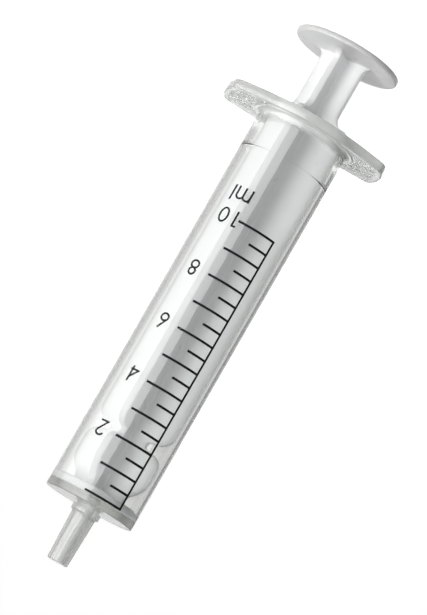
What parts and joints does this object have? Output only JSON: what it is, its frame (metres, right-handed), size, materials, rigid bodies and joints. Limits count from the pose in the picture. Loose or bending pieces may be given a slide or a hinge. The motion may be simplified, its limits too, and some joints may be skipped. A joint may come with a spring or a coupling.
{
  "type": "syringe",
  "caption": "Clear disposable syringe barrel with finger flange, slip nozzle and printed millilitre scale, and a one-piece ribbed plunger that slides in it.",
  "frame": {"origin": "middle of the thumb rest's outer face, on which the syringe stands", "axes": "+Z along the barrel's axis from the thumb rest to the nozzle, X along the two wings of the finger flange, the printed scale facing -Y"},
  "size_m": [0.0318, 0.0232, 0.1041],
  "materials": {
    "barrel": "clear, slightly hazy polypropylene",
    "plunger": "milky translucent, satin moulded",
    "ink": "matt black printing ink"
  },
  "bodies": {
    "plunger": {"plunger": "plunger"},
    "barrel": {"barrel": "barrel", "scale_spine_line": "ink", "whole_ml_lines": "ink", "half_ml_lines": "ink", "numeral_2": "ink", "numeral_4": "ink", "numeral_6": "ink", "numeral_8": "ink", "numeral_10": "ink", "unit_ml": "ink"}
  },
  "joints": [
    {"name": "plunger_slide", "type": "slide", "parent": "plunger", "child": "barrel", "axis": [0, 0, 1], "range_m": [0, 0.066]}
  ]
}
